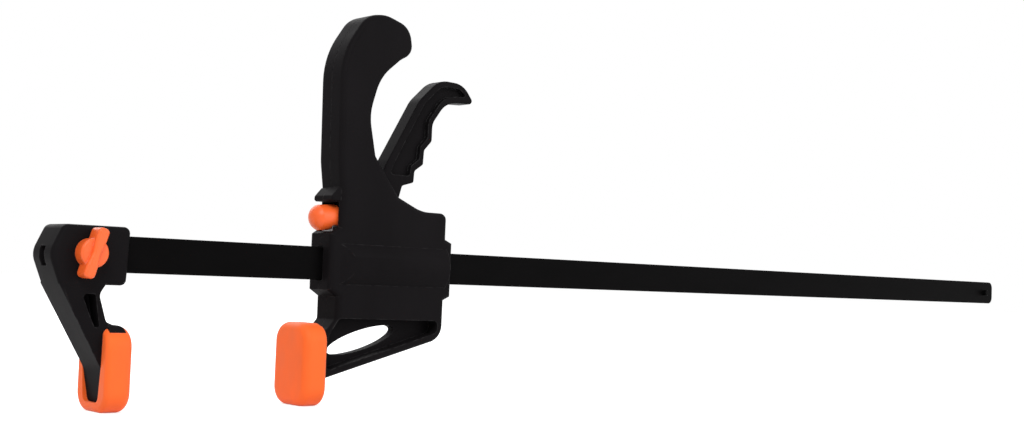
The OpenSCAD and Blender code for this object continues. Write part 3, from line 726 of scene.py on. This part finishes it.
def inside():
    """Everything that is cut out of both shells: the window, the bar's way, the
    brake's rooms, the drive's rooms, and the trigger's slot and pin."""
    y = TRIGGER_W / 2 + 0.4
    room_w = 17
    low = PIVOT[1] - NOSE_ARM - NOSE_R - 0.6
    slot = np.array([[33, low], [50, low], [56, 27], [59.2, 31], [64, 60], [38.8, 60],
                     [38.8, 46], [33, 39]], float)
    return [
        window(), bar_way(-FAR, FAR),
        tube_x(LEVER[0] + 1.4, BRAKE_END, BRAKE_R),
        block(COLLAR_X + 3, LEVER[0] + 2, LEVER[1] + 1, 14.6, room_w),
        pin(LEVER, -room_w / 2, room_w / 2, 3.6),
        block(LEVER[0] - 1.75, LEVER[0] + 1.75, LEVER[1], 0, room_w),
        block(17.5, LEVER[0] + 2.6, 10, BUTTON_Z, 11),
        block(COLLAR_X, LEVER[0] + 4.4, 15.6, 30, BUTTON_D + 1.6),
        tube_x(39.5, DRIVE_END, DRIVE_R),
        block(41, PLATES_END + STROKE + 1, -13.3, 22.8, room_w),
        moulded(slot, -y, y),
        pin(PIVOT, -BODY_W / 2 + 1.5, BODY_W / 2 - 1.5, PIN_D + 0.04)]


def shell(side, parting):
    """Half of the housing: side is -1 for the near shell and 1 for the far one."""
    y = BODY_W / 2
    if side < 0:
        forms = [moulded(body_outline(), -y, 0, EDGE, parting),
                 moulded(brow(), 1.6 - y, -0.05, 1.2, 0)]
        pocket, half = moulded(jaw_hollow(), -FAR, -WEB / 2), (-FAR, -0.05)
    else:
        forms = [moulded(body_outline(), 0, y, parting, EDGE),
                 moulded(brow(), 0.05, y - 1.6, 0, 1.2)]
        pocket, half = moulded(jaw_hollow(), WEB / 2, FAR), (0.05, FAR)
    keep = moulded(np.array([[-FAR, -FAR], [FAR, -FAR], [FAR, FAR], [-FAR, FAR]], float), *half)
    round_part = carved([barrel(), mirrored(shoe())], [keep], "INTERSECT")
    room = carved([moulded(handle_hollow(), WALL - y, y - WALL)],
                  [pin(p, -BODY_W, BODY_W, 8) for p in SCREWS])
    if side < 0:
        bores = [pin(p, SEAT - 16.5, FAR, 3) for p in SCREWS]
    else:
        bores = [pin(p, -FAR, FAR, 3.3) for p in SCREWS] + [pin(p, SEAT, FAR, 6.3) for p in SCREWS]
    return carved([*forms, round_part], [pocket, room, *inside(), *bores])


def trigger():
    """Grip with finger grooves and a hooked top, hollow on both sides, and the
    leg with a round nose that pushes the drive plates."""
    grip = rounded(
        (50, 27.5, 6), (57.2, 33, 2), (59.4, 40.8, 2), (66.4, 42.8, 1.4), (66.8, 48.8, 2.2),
        (72, 52.4, 1.6), (72.4, 59.8, 2.4), (77, 64.8, 3), (77, 74, 8), (85, 85, 12),
        (92.6, 86.2, 7), (104.2, 86.8, 1.8), (96.2, 96.6, 12), (80.6, 97, 14), (68.4, 85.4, 16),
        (50, 53, 20), (44, 40, 4), (36, 34, 4), (37, 25, 5))
    hollow = rounded(
        (51, 46, 1.5), (63.4, 46, 1.5), (64, 51.2, 2), (69, 55, 1.5), (69.4, 61.4, 2),
        (73.8, 66.2, 2), (73.8, 75, 8), (83.4, 88.2, 12), (92, 89.6, 6), (98.4, 89.8, 0.8),
        (94, 93.6, 6), (81.6, 93.8, 10), (71, 83.6, 14), (54.2, 53, 6))
    leg = np.array([[PIVOT[0] - 6, PIVOT[1]], [NOSE[0] - 3.9, NOSE[1]],
                    [NOSE[0] + 3.9, NOSE[1]], [NOSE[0] + 3.9, 22.8], [PIVOT[0] + 6, PIVOT[1]]])
    y = TRIGGER_W / 2
    return carved(
        [moulded(grip, -y, y, 1.2, 1.2), moulded(leg, 0.5 - y, y - 0.5),
         pin(NOSE, 0.5 - y, y - 0.5, 2 * NOSE_R)],
        [moulded(hollow, -FAR, 2.5 - y), moulded(hollow, y - 2.5, FAR),
         pin(PIVOT, -FAR, FAR, PIN_D + 0.08)])


def coil(x0, x1, turns, r, wire):
    """Round wire on a helix about the bar, 40 rings to a turn: a ring at angle a
    is at r * (cos a, sin a), and its ends run straight for one wire."""
    a = math.radians(22.5) + 2 * math.pi * np.linspace(0, turns, turns * 40 + 1)
    x = np.linspace(x0 + wire / 2, x1 - wire / 2, len(a))
    route = np.stack([x, r * np.cos(a), r * np.sin(a)], 1)
    end = wire * np.array([0, -math.sin(a[0]), math.cos(a[0])])
    route = np.vstack([route[0] - end, route, route[-1] + end])
    along = np.gradient(route, axis=0)
    along /= np.linalg.norm(along, axis=1, keepdims=True)
    out = route * [0, 1, 1]
    out -= along * (out * along).sum(1, keepdims=True)
    out /= np.linalg.norm(out, axis=1, keepdims=True)
    up = np.cross(along, out)
    s = np.linspace(0, 2 * math.pi, 14, endpoint=False)[None, :, None]
    return rings(route[:, None] + wire / 2 * (out[:, None] * np.cos(s) + up[:, None] * np.sin(s)))


def release_button():
    """Round button whose front is a shallow dome, on the brake lever's arm."""
    r = BUTTON_D / 2
    front = FLANK_X - 8.2
    crown = 1.1 * r
    rise = crown - math.sqrt(crown * crown - r * r)
    a = np.linspace(0, math.asin(r / crown), 12)
    dome = np.stack([crown * np.sin(a), front + crown * (1 - np.cos(a))], 1)
    end = LEVER[0] + 1.5 + 1.6
    t = np.linspace(0, math.pi / 2, 6)
    skirt = np.stack([r - 0.4 * (1 - np.cos(t)), end - 0.4 * (1 - np.sin(t))], 1)
    body = along_x(turned([*dome, (r, front + rise + 0.2), *skirt, (0, end)]))
    cut = carved([placed(body, (0, 0, BUTTON_Z))],
                 [block(LEVER[0] - 1.58, LEVER[0] + 1.58, 0, 26.15, 9.3)])
    return placed(cut, turn_y=-LEAN, about=LEVER)


def jaw_nut():
    """Hexagon nut in the fixed jaw's far side, its outer corners chamfered."""
    low, high = HEAD_W / 2 - NUT_H, HEAD_W / 2
    chamfer = turned([(0, low - 1), (6, low - 1), (6, high - 0.7), (4.8, high), (0, high)],
                     (KNOB_X, 0), 96)
    nut = carved([hexagon(low, high, NUT_FLATS)], [chamfer], "INTERSECT")
    return carved([nut], [pin((KNOB_X, 0), -FAR, FAR, SCREW_D + 0.08)])


def knob_screw():
    """Shank of the knob's screw with a chamfered end."""
    r = SCREW_D / 2
    return turned([(r, -HEAD_W / 2 - 4.7), (r, HEAD_W / 2 - 1), (r - 0.5, HEAD_W / 2 - 0.5)],
                  (KNOB_X, 0))


def stop_pin():
    """Pin across the bar's free end with chamfered ends."""
    x = middle("stop_pin").x
    return turned([(1.6, -6), (2, -5.6), (2, 5.6), (1.6, 6)], (x, 0))


def shell_screws():
    """Screws of the housing: a domed head, whose height follows a sine, with a
    cross recess, on a plain shank."""
    t = np.linspace(0, math.pi / 2, 8)
    dome = np.stack([3 * np.cos(t), SEAT + 1.3 + 1.1 * np.sin(t)], 1)
    head = turned([(0, SEAT), (3, SEAT), *dome], sides=48)
    shank = pin((0, 0), SEAT - 16, SEAT + 1, 3, 32)
    cross = [moulded(np.array([[-1.8, -0.4], [1.8, -0.4], [1.8, 0.4], [-1.8, 0.4]]),
                     SEAT + 1.2, FAR)]
    cross.append(placed(cross[0], turn_y=90))
    screw = carved([head, shank], cross)
    return joined([placed(screw, (x, 0, z)) for x, z in SCREWS])


# ---- operators ----


class CLAMP_OT_bar(bpy.types.Operator):
    """Finish the flat bar and build its stop pin."""
    bl_idname = "clamp.bar"
    bl_label = "Bar"

    def execute(self, context):
        paint("bar", finish("bar"))
        piece("stop_pin_turned", stop_pin(), finish("bar"), "bar_assembly", BAR_AT,
              ["stop_pin"], 20)
        return {"FINISHED"}


class CLAMP_OT_fixed_jaw(bpy.types.Operator):
    """Build the fixed jaw."""
    bl_idname = "clamp.fixed_jaw"
    bl_label = "Fixed Jaw"

    def execute(self, context):
        piece("fixed_jaw_casting", fixed_jaw(), finish("jaw"), "bar_assembly", BAR_AT,
              ["fixed_jaw"])
        return {"FINISHED"}


class CLAMP_OT_pads(bpy.types.Operator):
    """Build the two soft pads."""
    bl_idname = "clamp.pads"
    bl_label = "Pads"

    def execute(self, context):
        crown = sizes().crown * 1000
        y = BODY_W / 2 + PAD_GAP
        behind = rounded((-y, JAW_LOW - 1, 3), (y, JAW_LOW - 1, 3), (y, FAR, 0), (-y, FAR, 0))
        piece("fixed_jaw_pad", pad(arm_width(PAD_GAP), crown), finish("pads"), "bar_assembly",
              BAR_AT, ["fixed_pad"], 50)
        piece("moving_jaw_pad", mirrored(pad(behind, crown, PAD_TOP + 2.4, SHOE_TOP + 0.1)),
              finish("pads"), "housing", BODY_AT, ["moving_pad"], 50)
        return {"FINISHED"}


class CLAMP_OT_housing(bpy.types.Operator):
    """Build the two shells of the housing."""
    bl_idname = "clamp.housing"
    bl_label = "Housing"

    def execute(self, context):
        parting = sizes().parting * 1000
        for name, side in (("near_shell", -1), ("far_shell", 1)):
            piece(name + "_moulding", shell(side, parting), finish("housing"), "housing",
                  BODY_AT, [name])
        return {"FINISHED"}


class CLAMP_OT_trigger(bpy.types.Operator):
    """Build the trigger."""
    bl_idname = "clamp.trigger"
    bl_label = "Trigger"

    def execute(self, context):
        piece("trigger_moulding", trigger(), finish("trigger"), "trigger", BODY_AT,
              ["trigger"])
        return {"FINISHED"}


class CLAMP_OT_drive(bpy.types.Operator):
    """Build the springs, and finish the steel plates and the brake lever."""
    bl_idname = "clamp.drive"
    bl_label = "Drive And Brake"

    def execute(self, context):
        for node in ("front_drive_plate", "rear_drive_plate", "brake_lever"):
            paint(node, finish("plates"))
        start, end = PLATES_END + 0.1, DRIVE_END - 0.1
        spring = piece("drive_spring_wire", coil(start, end, 9, DRIVE_R - 1.1, 1.4),
                       finish("springs"), "housing", BODY_AT, ["drive_spring"])
        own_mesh(spring)
        brake = coil(LEVER[0] + 1.8, BRAKE_END - 0.1, 4, BRAKE_R - 0.9, 1.2)
        piece("brake_spring_wire", brake, finish("springs"), "housing", BODY_AT,
              ["brake_spring"])
        return {"FINISHED"}


class CLAMP_OT_button(bpy.types.Operator):
    """Build the release button."""
    bl_idname = "clamp.button"
    bl_label = "Release Button"

    def execute(self, context):
        piece("release_button_cap", release_button(), finish("knob"), "brake", BODY_AT,
              ["release_button"])
        return {"FINISHED"}


class CLAMP_OT_knob(bpy.types.Operator):
    """Build the wing knob of the fixed jaw."""
    bl_idname = "clamp.knob"
    bl_label = "Wing Knob"

    def execute(self, context):
        piece("wing_knob_grip", wing_knob(), finish("knob"), "knob", BAR_AT,
              ["wing_knob"])
        return {"FINISHED"}


class CLAMP_OT_fasteners(bpy.types.Operator):
    """Build the nut and the screws, and finish the washer and the trigger's pin."""
    bl_idname = "clamp.fasteners"
    bl_label = "Fasteners"

    def execute(self, context):
        for node in ("knob_washer", "trigger_pin"):
            paint(node, finish("steel"))
        steel = finish("steel")
        piece("jaw_nut_chamfered", jaw_nut(), steel, "bar_assembly", BAR_AT, ["jaw_nut"],
              20)
        piece("knob_screw_shank", knob_screw(), steel, "knob", BAR_AT, ["knob_screw"],
              20)
        piece("shell_screws_domed", shell_screws(), steel, "housing", BODY_AT,
              ["shell_screws"], 20)
        return {"FINISHED"}


# ---- stage: metres in the shared frame ----

CAMERA_AT = (-0.2739, -0.5727, 0.0446)
CAMERA_RIGHT = (0.75373, -0.65604, 0.03870)
CAMERA_UP = (-0.05840, -0.00820, 0.99826)
CAMERA_LENS = 49.22
FLOOR_Z, FLOOR_GLOW = CAD_BOX[0][2], 0.62
WORLD_LIGHT = 0.55


def where_seen(tree, strength):
    """strength for camera, glossy and transmission rays, and 0 for the others."""
    seen = tree.nodes.new("ShaderNodeLightPath")
    most = seen.outputs["Is Camera Ray"]
    for name in ("Is Glossy Ray", "Is Transmission Ray"):
        n = tree.nodes.new("ShaderNodeMath")
        n.operation = "MAXIMUM"
        tree.links.new(most, n.inputs[0])
        tree.links.new(seen.outputs[name], n.inputs[1])
        most = n.outputs[0]
    part = tree.nodes.new("ShaderNodeMath")
    part.operation = "MULTIPLY"
    part.inputs[1].default_value = strength
    tree.links.new(most, part.inputs[0])
    return part.outputs[0]


def backdrop():
    """World that lights softly and is white where it is seen."""
    world = bpy.data.worlds.new("studio")
    bpy.context.scene.world = world
    world.use_nodes = True
    tree = world.node_tree
    light = tree.nodes["Background"]
    light.inputs["Color"].default_value = (1, 1, 1, 1)
    light.inputs["Strength"].default_value = WORLD_LIGHT
    white = tree.nodes.new("ShaderNodeBackground")
    white.inputs["Strength"].default_value = 1
    white.inputs["Color"].default_value = (1, 1, 1, 1)
    mix = tree.nodes.new("ShaderNodeMixShader")
    tree.links.new(where_seen(tree, 1), mix.inputs[0])
    tree.links.new(light.outputs[0], mix.inputs[1])
    tree.links.new(white.outputs[0], mix.inputs[2])
    tree.links.new(mix.outputs[0], tree.nodes["World Output"].inputs["Surface"])


def floor():
    """Wide pale floor under the lowest point: diffuse, with a glow added where it
    is seen, so that its open parts are white and the shadow stays."""
    half = 6
    mesh = bpy.data.meshes.new("studio_floor")
    mesh.from_pydata([(-half, -half, FLOOR_Z), (half, -half, FLOOR_Z), (half, half, FLOOR_Z),
                      (-half, half, FLOOR_Z)], [], [(0, 1, 2, 3)])
    added("studio_floor", mesh)
    material = bpy.data.materials.new("pale_floor")
    material.use_nodes = True
    tree = material.node_tree
    shader = tree.nodes["Principled BSDF"]
    shader.inputs["Base Color"].default_value = (0.86, 0.86, 0.86, 1)
    shader.inputs["Roughness"].default_value = 0.9
    shader.inputs["Specular IOR Level"].default_value = 0
    shader.inputs["Emission Color"].default_value = (1, 1, 1, 1)
    tree.links.new(where_seen(tree, FLOOR_GLOW), shader.inputs["Emission Strength"])
    mesh.materials.append(material)


def lamp(name, at, aim, size, power):
    """Square soft light at a point, turned to its aim: size in m, power in W."""
    data = bpy.data.lights.new(name, "AREA")
    data.size = size
    data.energy = power
    o = added(name, data)
    o.location = at
    o.rotation_euler = (Vector(aim) - Vector(at)).to_track_quat("-Z", "Y").to_euler()


def camera():
    """Camera at the photograph's place, from its right and up directions."""
    right = Vector(CAMERA_RIGHT).normalized()
    up = (Vector(CAMERA_UP) - right * right.dot(Vector(CAMERA_UP))).normalized()
    back = right.cross(up)
    data = bpy.data.cameras.new("photo_camera")
    data.sensor_fit = "HORIZONTAL"
    data.sensor_width = 36
    data.lens = CAMERA_LENS
    data.clip_start = 0.01
    o = added("photo_camera", data)
    turn = Matrix((right, up, back)).transposed().to_4x4()
    o.matrix_world = Matrix.Translation(CAMERA_AT) @ turn
    bpy.context.scene.camera = o


class CLAMP_OT_stage(bpy.types.Operator):
    """Set up the camera, the floor, the backdrop and the lights."""
    bl_idname = "clamp.stage"
    bl_label = "Stage"

    def execute(self, context):
        camera()
        backdrop()
        floor()
        lamp("key", (-0.9, -1.3, 1.5), (0.15, 0, 0.05), 1.2, 26)
        lamp("fill", (1.2, -1.5, 0.6), (0.2, 0, 0.05), 1.4, 12)
        lamp("back", (0.3, 1.5, 1.3), (0.2, 0, 0.05), 1.4, 14)
        context.scene.view_settings.view_transform = "Standard"
        return {"FINISHED"}


class CLAMP_PT_panel(bpy.types.Panel):
    """Sidebar panel that lists the clamp's pieces, sizes and colours."""
    bl_idname = "CLAMP_PT_panel"
    bl_label = "Bar Clamp"
    bl_space_type = "VIEW_3D"
    bl_region_type = "UI"
    bl_category = "Bar Clamp"

    def draw(self, context):
        for group in (context.scene.clamp_sizes, context.scene.clamp_colours):
            for name in group.__annotations__:
                self.layout.prop(group, name)
        for operator in OPERATORS:
            self.layout.operator(operator.bl_idname)


OPERATORS = (CLAMP_OT_bar, CLAMP_OT_fixed_jaw, CLAMP_OT_pads, CLAMP_OT_housing,
             CLAMP_OT_trigger, CLAMP_OT_drive, CLAMP_OT_button, CLAMP_OT_knob,
             CLAMP_OT_fasteners, CLAMP_OT_stage)
CLASSES = (ClampSizes, ClampColours, *OPERATORS, CLAMP_PT_panel)


def register():
    for c in CLASSES:
        bpy.utils.register_class(c)
    bpy.types.Scene.clamp_sizes = PointerProperty(type=ClampSizes)
    bpy.types.Scene.clamp_colours = PointerProperty(type=ClampColours)


def unregister():
    del bpy.types.Scene.clamp_sizes
    del bpy.types.Scene.clamp_colours
    for c in reversed(CLASSES):
        bpy.utils.unregister_class(c)


def main():
    """Build every piece and the stage."""
    register()
    bpy.ops.clamp.bar()
    bpy.ops.clamp.fixed_jaw()
    bpy.ops.clamp.pads()
    bpy.ops.clamp.housing()
    bpy.ops.clamp.trigger()
    bpy.ops.clamp.drive()
    bpy.ops.clamp.button()
    bpy.ops.clamp.knob()
    bpy.ops.clamp.fasteners()
    bpy.ops.clamp.stage()


if __name__ == "__main__":
    main()
